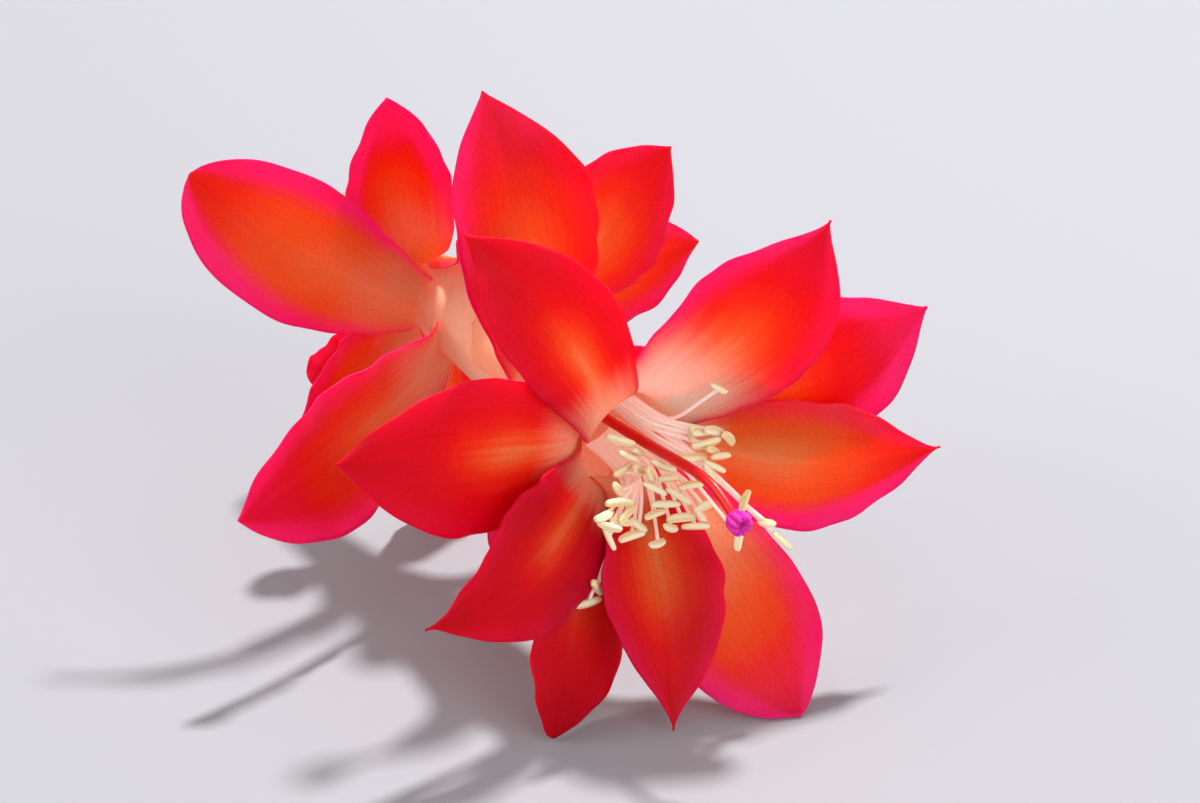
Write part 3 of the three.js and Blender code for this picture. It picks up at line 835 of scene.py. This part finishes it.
@dataclass
class Perianth:
    """All the petals, in three tiers along the tube."""

    finish: PetalFinish = field(default_factory=PetalFinish)
    petals: tuple[Petal, ...] = (
        Petal("front_upper_left", -2.5, 325, 1.3, 25.5, 11, 6.5, 83, 49, 15,
              side=12, sweep=-19, turn=1, twist=5, middle=0.5, sharp=1.5, lift=0.1, fold=4, tuck=6,
              nest=-0.35, pale=0.25, heat=0.8, pink=0.1, deep_red_and_painted_shade=0.18, edge=-0.4),
        Petal("front_left", -3.5, 287, 1.3, 27, 15, 7, 83, 18, 11,
              side=-2, sweep=-5, turn=-5, twist=-2, sharp=1.2, lift=0.6, fold=4, tuck=3,
              nest=0.3, pale=0.25, pink=0.15, heat=0.75, deep_red_and_painted_shade=0.3),
        Petal("front_lower_left", -2.5, 245, 1.3, 23.5, 14, 7.5, 61, 38, 9,
              side=-5, sweep=26, turn=-11, twist=13, middle=0.4, sharp=1.7, lift=0.3, fold=4,
              tuck=3, nest=0.05, pale=0.18, pink=0.2, heat=0.62, deep_red_and_painted_shade=0.52, edge=-0.4),
        Petal("front_low_left", -4, 208, 1.7, 23.5, 12.5, 6, 70, -1, 12,
              side=-1, sweep=3, turn=2, twist=3, sharp=0.7, lift=0.6, fold=5, tuck=3,
              nest=0.2, pink=0.1, deep_red_and_painted_shade=0.6),
        Petal("front_low", -2, 178, 1.3, 22.5, 12.5, 6.5, 51, 9, 18,
              side=3, sweep=16, turn=2, twist=-8, middle=0.4, sharp=1.7, lift=0.1, fold=4, tuck=6,
              nest=-0.2, pale=0.11, pink=0.3, deep_red_and_painted_shade=0.25, edge=-0.4),
        Petal("front_low_right", -4, 153, 1.7, 27, 14.5, 5.5, 48, -1, 12,
              side=6, sweep=3, turn=3, twist=-4, middle=0.55, sharp=0.9, lift=0.6, fold=5, tuck=3,
              nest=0.15, pale=0.58, heat=2.2, pink=0.8, blush=0.35),
        Petal("front_right", -2, 97, 1.3, 25.5, 13.5, 5.5, 48, 38, 16,
              side=6, sweep=-15, turn=1, twist=-2, sharp=1.6, lift=0.1, fold=4, tuck=6,
              nest=-0.1, pale=0.22, heat=2.1, pink=1.05, lean=0.8, edge=-0.4),
        Petal("front_upper_right", -3, 35, 1.3, 25, 13.5, 8.5, 52, 43, 7,
              side=-3, sweep=2, turn=22, twist=9, middle=0.5, sharp=1.5, lift=0.1, fold=4, tuck=6,
              nest=-0.25, pale=0.5, heat=1.25, pink=0.6, lean=-0.5, blush=0.15, milk=0.8,
              deep_red_and_painted_shade=0.06, edge=-0.4),
        Petal("front_far_right", -4, 65, 1.7, 26, 15.5, 6, 54, 35, 16,
              side=6, sweep=-6, turn=13, twist=4, sharp=1.2, lift=0.6, fold=5, tuck=3,
              nest=0.2, pale=0.35, heat=0.9, pink=1.3, blush=0.6),
        Petal("middle_top", -22.5, 326, 10.5, 27.5, 15, 8.5, 82, 51, 22,
              side=26, turn=-1, twist=-7, middle=0.5, sharp=1.2,
              heat=1.5, pink=0.35, lean=-0.7, blush=0.2, deep_red_and_painted_shade=0.08),
        Petal("middle_upper_right", -25, 37, 3.5, 19.5, 13.5, 4.5, 92, 9, 11, side=8, sweep=13,
              turn=1, twist=9, heat=1.5, pink=0.3),
        Petal("middle_right", -26, 116, 5.5, 20.5, 10.5, 4.5, 69, 16, 14, side=5, sweep=5),
        Petal("middle_under", -25, 181, 5.5, 20, 11, 4.5, 80, 25, 14, side=-3, sweep=-2),
        Petal("middle_left", -28.5, 257, 2, 28.5, 15.5, 6, 69, 16, 13, side=-7, sweep=12,
              turn=-1, twist=-1, middle=0.55, sharp=1, pale=0.35, heat=1.4, pink=0.7, blush=0.3),
        Petal("back_top", -39, 318, 7, 20.5, 11, 6.5, 100, -19, 25, side=24, sweep=16,
              turn=4, twist=1, sharp=0.9, lift=1.7, heat=1.6, pink=1.9, ochre=0.75, blush=0.9,
              pale=0.52),
        Petal("back_upper_right", -35.5, 17, 6, 17, 9.5, 6, 65, 8, 15, side=-10, sweep=-13,
              twist=-1, lift=1.5, pale=-0.6),
        Petal("back_right", -34, 80, 4, 21, 12.5, 4.5, 72, 20, 14, side=4, sweep=1, sharp=1,
              pale=0.55, heat=2.2),
        Petal("back_under", -37, 179, 3.5, 23, 11, 4.5, 93, 22, 14, side=-2, sweep=-1),
        Petal("back_lower_left", -38.5, 236, 3, 10.5, 9.5, 4.5, 106, 14, 16, side=-4, sweep=-4,
              middle=0.5, sharp=0.55, lift=1.5, deep_red_and_painted_shade=0.35),
        Petal("back_left", -34, 247, 2, 16, 11, 4.5, 73, 10, 10, side=3, sweep=11, turn=-2,
              twist=-7, sharp=1.2, lift=1.5, pale=0.4, heat=2.4, ochre=0.2),
        Petal("back_upper_left", -38, 295, 7.5, 28.5, 13.5, 5, 89, 52, 20, side=6, sweep=11,
              turn=-3, twist=-5, middle=0.6, sharp=0.7, pale=0.42, heat=2.8, pink=1.2, ochre=0.2),
    )

    def build(self) -> None:
        """Builds every petal, tier by tier."""
        material = self.finish.material()
        for tier in Tier:
            own = [petal for petal in self.petals if petal.name.startswith(tier.value)]
            for petal in own:
                petal.build(material)
            log.info("%s tier: %d petals", tier.value, len(own))


# Turned bodies: tube and ovary


def turned(rings: Sequence[tuple[float, float]], sides: int) -> bpy.types.Object:
    """Builds a closed body round the flower's axis by extruding a disc ring by ring.

    Args:
        rings: The radius and station of each ring, from one closed end to the other.
        sides: How many points a ring has.

    Returns:
        The object, upright, with the mouth at its origin.
    """
    radius, station = rings[0]
    bpy.ops.object.select_all(action="DESELECT")
    bpy.ops.mesh.primitive_circle_add(
        vertices=sides, radius=radius, fill_type="NGON", location=(0, 0, station)
    )
    piece = bpy.context.object
    settle_place()
    bpy.ops.object.mode_set(mode="EDIT")
    bpy.ops.mesh.select_all(action="SELECT")
    for next_radius, next_station in rings[1:]:
        rise = (0, 0, next_station - station)
        bpy.ops.mesh.extrude_region_move(TRANSFORM_OT_translate={"value": rise})
        share = next_radius / radius
        bpy.ops.transform.resize(
            value=(share, share, 1), center_override=(0, 0, next_station)
        )
        radius, station = next_radius, next_station
    bpy.ops.object.mode_set(mode="OBJECT")
    outward(piece)
    return piece


def onto_axis(piece: bpy.types.Object) -> None:
    """Marks an upright body's rings, then lays it along the flower's axis."""
    places = points_of(piece)
    mark(piece, "around", np.arctan2(places[:, 1], places[:, 0]) / math.pi)
    mark(piece, "station", places[:, 2])
    piece.data.transform(Mouth.matrix())


@dataclass
class FloralTube:
    """The tube that carries the petals, open at its mouth."""

    wall: float = 0.45
    throat_depth: float = 18.0
    end: float = -45.7
    end_radius: float = 2.2
    floor_radius: float = 2.6
    rim: float = -3.0
    sides: int = 72
    finish: TubeFinish = field(default_factory=TubeFinish)

    def rings(self) -> list[tuple[float, float]]:
        """The tube's profile: outside to the lip, then down the throat to its floor."""
        outside = [(self.end_radius * 0.2, self.end), (self.end_radius, self.end)]
        for station in np.linspace(-42, self.rim - 0.6, 32):
            outside.append((Mouth.radius(station), float(station)))
        edge = Mouth.radius(self.rim) - 0.06
        rim = [(edge, self.rim - 0.1), (edge - 0.05, self.rim), (edge - 0.1, self.rim - 0.1)]
        inside = []
        for station in np.linspace(self.rim - 1, 1 - self.throat_depth, 16):
            wall = self.wall * (0.5 + 0.5 * smooth((self.rim - station) / 8))
            inside.append((Mouth.radius(station) - wall, float(station)))
        floor = [(self.floor_radius, -self.throat_depth), (0.3, -self.throat_depth)]
        return outside + rim + inside + floor

    def build(self) -> bpy.types.Object:
        """Builds the tube, slightly ribbed and wavy as a fleshy tube is."""
        piece = turned(self.rings(), self.sides)
        places = points_of(piece)
        turn = np.arctan2(places[:, 1], places[:, 0])
        ribs = 1 + 0.012 * np.cos(5 * turn + places[:, 2] * 0.05) + 0.006 * np.cos(13 * turn)
        places[:, :2] *= ribs[:, None]
        move_points(piece, places)
        depth = (places[:, 2] + self.throat_depth) / 10
        wall = np.array([Mouth.radius(station) for station in places[:, 2]]) - self.wall * 0.4
        inside = np.hypot(places[:, 0], places[:, 1]) < wall
        mark(piece, "inner", np.where(inside, np.clip(depth, 0, 1), 0.0))
        onto_axis(piece)
        return settle(piece, "tube_and_throat", self.finish.material(), ["floral_tube"])


@dataclass
class Ovary:
    """The green ovary behind the tube, with its scar where it was picked."""

    ribs: int = 5
    sides: int = 60
    finish: OvaryFinish = field(default_factory=OvaryFinish)
    profile: tuple[tuple[float, float], ...] = (
        (0.2, -52.75), (0.8, -52.7), (1.1, -52.75), (1.3, -53.0), (1.5, -53.08),
        (1.72, -53.0), (2.1, -52.6), (2.5, -51.95), (2.8, -51.2), (3.0, -50.2),
        (3.1, -49.2), (3.06, -48.2), (2.9, -47.2), (2.6, -46.5), (2.3, -46.05), (0.3, -46.0),
    )

    def build(self) -> bpy.types.Object:
        """Builds the ovary with low ribs that fade at both ends."""
        piece = turned(self.profile, self.sides)
        places = points_of(piece)
        turn = np.arctan2(places[:, 1], places[:, 0])
        belly = np.exp(-(((places[:, 2] + 49.4) / 2.2) ** 2))
        swell = 1 + 0.035 * belly * (np.cos(self.ribs * turn) - 0.4)
        places[:, :2] *= swell[:, None]
        move_points(piece, places)
        onto_axis(piece)
        return settle(piece, "green_ovary", self.finish.material(), ["ovary"])


# Style, stigma and stamens

Anther = tuple[float, float, float, float]


def limb(points: Sequence[np.ndarray], radii: Sequence[float], sides: int) -> bpy.types.Object:
    """Builds a closed, smooth limb through points.

    Args:
        points: Where it passes, in millimetres.
        radii: Its radius at each of them.
        sides: How many sides its section has, a multiple of 4.

    Returns:
        The limb as a mesh object.
    """
    bpy.ops.object.select_all(action="DESELECT")
    bpy.ops.curve.primitive_nurbs_path_add()
    path = bpy.context.object
    curve = path.data
    curve.splines.clear()
    line = curve.splines.new("NURBS")
    line.points.add(len(points) - 1)
    for knot, place, radius in zip(line.points, points, radii):
        knot.co = (*place, 1)
        knot.radius = radius
    line.use_endpoint_u = True
    line.order_u = 4
    line.resolution_u = 5
    curve.dimensions = "3D"
    curve.bevel_depth = 1.0
    curve.bevel_resolution = sides // 4 - 1 + sides // 8
    curve.use_fill_caps = True
    only(path)
    bpy.ops.object.convert(target="MESH")
    return bpy.context.object


@dataclass
class Pistil:
    """The red style and the lobed magenta stigma at its end."""

    points: tuple[tuple[float, float, float], ...] = (
        (0, -0.4, -17.4), (0, 0.2, -9), (0, 0.9, -2), (0, 1.6, 4), (0, 2.4, 9),
        (0, 2.4, 12.5), (0, 1.4, 14.3), (0, 0.9, 15.2),
    )
    radii: tuple[float, ...] = (0.46, 0.48, 0.49, 0.5, 0.49, 0.48, 0.48, 0.44)
    stigma: tuple[float, float, float] = (0, 0.6, 15.9)
    lobes: int = 9
    lobe_ring: float = 0.6
    lobe_size: tuple[float, float, float] = (0.54, 0.36, 1.1)
    lobe_lean: float = 14.0
    voxel: float = 0.06
    style_finish: StyleFinish = field(default_factory=StyleFinish)
    stigma_finish: StigmaFinish = field(default_factory=StigmaFinish)

    def build(self) -> None:
        """Builds the style, then the stigma."""
        style = limb([Mouth.at(*p) for p in self.points], self.radii, 16)
        settle(style, "red_style", self.style_finish.material(), ["style"])
        self.build_stigma()

    def build_stigma(self) -> bpy.types.Object:
        """Builds the stigma from upright lobes that are fused with their neighbours."""
        parts = []
        for k in range(self.lobes):
            turn = 2 * math.pi * k / self.lobes
            bpy.ops.object.select_all(action="DESELECT")
            bpy.ops.mesh.primitive_uv_sphere_add(segments=24, ring_count=16, radius=1)
            lobe = bpy.context.object
            lobe.scale = self.lobe_size
            settle_place()
            lean = Matrix.Rotation(math.radians(self.lobe_lean), 4, "Y")
            shift = Matrix.Translation((self.lobe_ring, 0, 0))
            lobe.data.transform(Matrix.Rotation(turn, 4, "Z") @ shift @ lean)
            parts.append(lobe)
        piece = join(parts)
        fuse = piece.modifiers.new("fuse", "REMESH")
        fuse.mode = "VOXEL"
        fuse.voxel_size = self.voxel
        soften = piece.modifiers.new("soften", "SMOOTH")
        soften.factor = 0.5
        soften.iterations = 2
        apply_modifiers(piece)
        places = points_of(piece)
        out = np.hypot(places[:, 0], places[:, 1])
        turn = np.arctan2(places[:, 1], places[:, 0])
        crest = 0.5 + 0.5 * np.cos(self.lobes * turn)
        # the height is low in the furrows and near the middle, where the material paints shade
        mark(piece, "height", np.clip(crest * 0.7 + out * 0.45, 0, 1) * np.clip(out / 0.35, 0, 1))
        centre = Matrix.Translation(Vector(np.array(Mouth.at(*self.stigma)) - Mouth.PLACE))
        piece.data.transform(centre @ Mouth.matrix())
        return settle(piece, "lobed_stigma", self.stigma_finish.material(), ["stigma"])


@dataclass
class Stamens:
    """The stamens: threads from inside the throat, each with an anther across its end.

    Each anther is given by its middle, right of, above and in front of the mouth's
    middle, and by its slope in degrees. The lower bundle's threads rise from the
    throat's lower wall. The upper bundle's run side by side out of the throat, past
    the gates, which are places at the mouth.
    """

    lower_station: float = -8.0
    lower_radius: float = 3.85
    lower_turns: tuple[float, float] = (122.0, 180.0)
    upper_station: float = -9.0
    thread: float = 0.18
    length: float = 2.75
    girth: float = 0.4
    seed: int = 11
    thread_finish: FilamentFinish = field(default_factory=FilamentFinish)
    anther_finish: AntherFinish = field(default_factory=AntherFinish)
    lower: tuple[Anther, ...] = (
        (-2.9, 2.4, 1.5, -25), (-2.6, 1.2, 2.5, -35), (-1.3, 1.0, 2, -40), (-3.2, -0.1, 2.5, -3),
        (-1.6, -0.3, 3, -35), (-4.1, -1.5, 3.5, -50), (-5.1, -1.5, 5, -8), (-7.1, -2.1, 5.5, -10),
        (-4.6, -2.6, 5.5, 10), (-6.9, -3, 6, -28), (-4.1, -5.1, 5.5, -3), (-6.9, -4.1, 6, -75),
        (-3.3, -4.3, 5.5, -45), (-5.2, -3.3, 5.5, -20), (-1.8, -6.2, 6.5, -20),
        (-0.5, -2.9, 5.5, -12), (-1.6, -3.6, 5.5, -5), (0.7, -4.2, 6.5, -8), (-0.4, -5, 6.5, -35),
        (2, -5.3, 7, -5), (2.6, -4.5, 7, -50), (2.8, -3.4, 7, -12), (1.9, -1.4, 6, -5),
        (-1.3, -1.3, 5, -35), (0.2, -0.7, 5, -20), (-1.5, -0.1, 4.5, -60), (0.6, -2.1, 6, -40),
        (-0.2, 0.5, 4.5, -30), (-6.5, -10.7, 3.8, -55), (-7.4, -12.2, 3.8, -3),
    )
    upper: tuple[Anther, ...] = (
        (2.9, 2.9, 4.5, -70), (3.7, 3, 5, -20), (4.7, 3.2, 5.5, -30), (6, 2.3, 6, -50),
        (3.8, 2.1, 5.5, 5), (4.3, 1.5, 6, -40), (2.8, 0.7, 5, -10), (4.1, 0.2, 6.5, -35),
        (3.6, -0.4, 6.5, -60), (4.9, 1, 6.5, -20), (5, 7.5, 5.5, -38), (5.8, -2.8, 9, 80),
        (4.7, -5.6, 10, 60), (7.1, -4.5, 11, -30), (8.5, -6.6, 11.5, -48),
    )
    gates: tuple[tuple[float, float], ...] = (
        (0.4, 2.9), (1.1, 3.1), (1.8, 2.9), (2.5, 2.5), (0.7, 2.2), (1.4, 2.4), (1.0, 1.6),
        (1.7, 1.7), (1.3, 1.0), (2.1, 2.1), (3.1, 1.9), (2.7, 1.7), (1.9, 0.9), (2.3, 1.3),
        (2.9, 1.1),
    )

    def lower_path(self, anther: Anther, share: float) -> list[np.ndarray]:
        """The points that a thread of the lower bundle passes.

        Args:
            anther: The anther at its end.
            share: How far round the throat it starts, from 0 to 1.

        Returns:
            The points, from the throat's wall to the anther.
        """
        right, top, forward, _ = anther
        first, last = self.lower_turns
        turn = math.radians(first + (last - first) * share)
        root = np.array([math.sin(turn), math.cos(turn)]) * self.lower_radius
        tip = np.array([right, top])
        stops = [(0.0, self.lower_station), (0.0, -4.0), (0.04, -1.0), (0.25, 0.8)]
        stops.append((0.65, forward * 0.65))
        points = [Mouth.at(*(root * (1 - k) + tip * k), f) for k, f in stops]
        return points + [Mouth.at(right, top, forward)]

    def upper_path(self, anther: Anther, gate: tuple[float, float]) -> list[np.ndarray]:
        """The points that a thread of the upper bundle passes.

        Args:
            anther: The anther at its end.
            gate: Where it passes the mouth.

        Returns:
            The points, from deep in the throat to the anther.
        """
        right, top, forward, _ = anther
        gate_right, gate_top = gate
        reach = forward * 0.7
        return [
            Mouth.at(gate_right, gate_top, self.upper_station),
            Mouth.at(gate_right, gate_top, -3),
            Mouth.at(gate_right, gate_top, 0.5),
            Mouth.at((gate_right * 2 + right) / 3, (gate_top * 2 + top) / 3, reach * 0.6),
            Mouth.at((gate_right + right * 2) / 3, (gate_top + top * 2) / 3, reach),
            Mouth.at(right, top, forward),
        ]

    def anther_shape(self) -> bpy.types.Object:
        """Models one blunt anther along X, with a groove between its two halves."""
        bpy.ops.object.select_all(action="DESELECT")
        bpy.ops.mesh.primitive_uv_sphere_add(
            segments=16, ring_count=14, radius=1, rotation=(0, math.pi / 2, 0)
        )
        piece = bpy.context.object
        settle_place()
        places = points_of(piece)
        out = np.hypot(places[:, 1], places[:, 2])
        fill = np.clip(out, 1e-6, 1) ** 0.45 / np.clip(out, 1e-6, None)
        angle = np.arctan2(places[:, 2], places[:, 1])
        groove = np.abs(np.cos(angle)) ** 6
        girth = self.girth * fill * (1 - 0.28 * groove)
        shape = np.stack(
            [places[:, 0] * self.length / 2, places[:, 1] * girth, places[:, 2] * girth], 1
        )
        shape[:, 2] += 0.12 * places[:, 0] ** 2
        move_points(piece, shape)
        mark(piece, "groove", groove)
        return piece

    def build(self) -> None:
        """Builds the threads as one piece and the anthers as another."""
        draw = np.random.default_rng(self.seed)
        model = self.anther_shape()
        threads, sacs = [], []
        ranked = sorted(self.lower, key=lambda anther: -anther[0])
        ways = [self.lower_path(anther, k / len(ranked)) for k, anther in enumerate(ranked)]
        ways += [self.upper_path(anther, gate) for anther, gate in zip(self.upper, self.gates)]
        for anther, points in zip(ranked + list(self.upper), ways):
            threads.append(limb(points, [self.thread] * len(points), 8))
            sacs.append(self.copy_anther(model, anther, points, draw))
        bpy.data.objects.remove(model)
        thread_material = self.thread_finish.material()
        settle(join(threads), "stamen_threads", thread_material, ["stamens"])
        settle(join(sacs), "anthers", self.anther_finish.material(), ["stamens"])

    def copy_anther(
        self,
        model: bpy.types.Object,
        anther: Anther,
        points: Sequence[np.ndarray],
        draw: np.random.Generator,
    ) -> bpy.types.Object:
        """Copies the anther onto the end of its thread.

        Args:
            model: The anther that every copy starts from.
            anther: Its place and slope.
            points: Its thread's points, whose last is the anther's middle.
            draw: The source of small differences between anthers.

        Returns:
            The copy, with a mesh of its own.
        """
        only(model)
        bpy.ops.object.duplicate(linked=False)
        piece = bpy.context.object
        slope = math.radians(anther[3])
        pitch = math.radians(draw.uniform(-25, 25))
        flat = math.cos(slope) * Mouth.RIGHT + math.sin(slope) * Mouth.TOP
        line = Vector(math.cos(pitch) * flat + math.sin(pitch) * Mouth.AXIS)
        turn = line.to_track_quat("X", "Z").to_matrix().to_4x4()
        roll = Matrix.Rotation(draw.uniform(0, 2 * math.pi), 4, "X")
        size = Matrix.Scale(draw.uniform(0.88, 1.12), 4)
        piece.data.transform(Matrix.Translation(Vector(points[-1])) @ turn @ roll @ size)
        # painted shade: a random share of warm tint for this anther
        mark(piece, "ripe", np.full(len(piece.data.vertices), draw.uniform(0, 1)))
        return piece


# Floor, lights and camera


@dataclass(frozen=True)
class Lamp:
    """A round soft light that faces the flower, by its direction from there."""

    name: str
    towards: tuple[float, float, float]
    distance: float
    size: float
    power: float

    FLOWER_HEIGHT = 0.025

    def build(self) -> None:
        """Adds the light."""
        direction = Vector(self.towards).normalized()
        place = Vector((0, 0, self.FLOWER_HEIGHT)) + direction * self.distance
        bpy.ops.object.light_add(type="AREA", location=place)
        lamp = bpy.context.object
        lamp.name = self.name
        lamp.rotation_euler = direction.to_track_quat("Z", "Y").to_euler()
        lamp.data.shape = "DISK"
        lamp.data.size = self.size
        lamp.data.energy = self.power


@dataclass
class Studio:
    """A plain pale floor, soft lights and the camera at the photograph's angle."""

    floor_size: float = 4.0
    floor_colour: tuple[int, int, int] = (160, 159, 164)
    lens: float = 135.0
    sensor: float = 36.0
    camera_place: tuple[float, float, float] = (3.187, -372.331, 219.788)
    camera_tilt: float = 62.0
    sky_colour: tuple[float, float, float, float] = (0.95, 0.97, 1.0, 1.0)
    sky_strength: float = 0.56
    lamps: tuple[Lamp, ...] = (
        Lamp("key", (0.24, 0.36, 0.9), distance=0.9, size=0.075, power=11.0),
        Lamp("fill", (0.5, -0.75, 0.4), distance=1.2, size=0.8, power=5.5),
        Lamp("side", (-0.85, -0.2, 0.5), distance=1.2, size=0.6, power=4.0),
    )

    def build(self) -> None:
        """Builds everything that isn't part of the flower."""
        self.floor()
        for lamp in self.lamps:
            lamp.build()
        self.sky()
        self.camera()
        bpy.context.scene.view_settings.view_transform = "Standard"

    def floor(self) -> None:
        """Lays a plain floor under the flower."""
        bpy.ops.object.select_all(action="DESELECT")
        bpy.ops.mesh.primitive_plane_add(size=self.floor_size)
        plane = bpy.context.object
        plane.name = "floor"
        s = Shader("floor")
        plane.data.materials.append(
            s.finish({"Base Color": linear(self.floor_colour), "Roughness": 0.8})
        )

    def sky(self) -> None:
        """Gives even, weak light from all round."""
        world = bpy.data.worlds.new("studio")
        world.use_nodes = True
        background = world.node_tree.nodes["Background"]
        background.inputs["Color"].default_value = self.sky_colour
        background.inputs["Strength"].default_value = self.sky_strength
        bpy.context.scene.world = world

    def camera(self) -> None:
        """Adds the camera where the photograph was taken from."""
        place = Vector(self.camera_place) * MM
        bpy.ops.object.camera_add(location=place, rotation=(math.radians(self.camera_tilt), 0, 0))
        camera = bpy.context.object
        camera.data.lens = self.lens
        camera.data.sensor_width = self.sensor
        camera.data.clip_start = 0.01
        bpy.context.scene.camera = camera


def main() -> None:
    """Builds the flower and its studio."""
    Perianth().build()
    FloralTube().build()
    Ovary().build()
    Pistil().build()
    Stamens().build()
    Studio().build()


if __name__ == "__main__":
    main()
